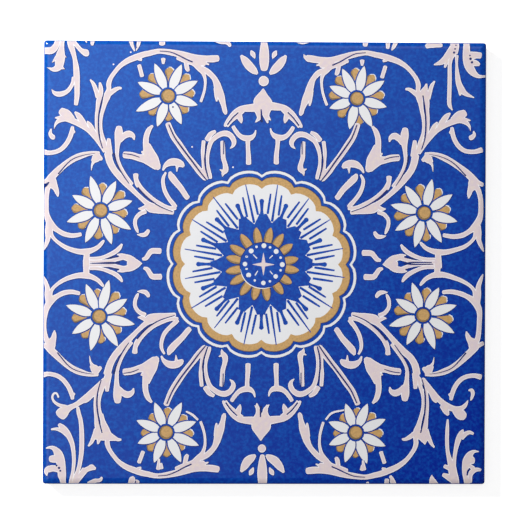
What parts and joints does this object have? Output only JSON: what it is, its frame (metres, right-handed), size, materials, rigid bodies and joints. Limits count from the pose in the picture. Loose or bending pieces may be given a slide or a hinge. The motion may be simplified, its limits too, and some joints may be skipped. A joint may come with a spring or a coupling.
{
  "type": "glazed wall tile",
  "caption": "Square glazed ceramic wall tile with a cushioned edge, a keyed back and a painted scrollwork face.",
  "frame": {"origin": "middle of the back's bedding plane", "axes": "+Z out of the glazed face, +Y towards the top of the pattern, +X towards its right side"},
  "size_m": [0.108, 0.108, 0.006],
  "materials": {
    "glazed_tile": "gloss cobalt glaze with pale scrollwork, white daisies and ochre gilding"
  },
  "bodies": {
    "root": {"tile": "glazed_tile"}
  },
  "joints": []
}
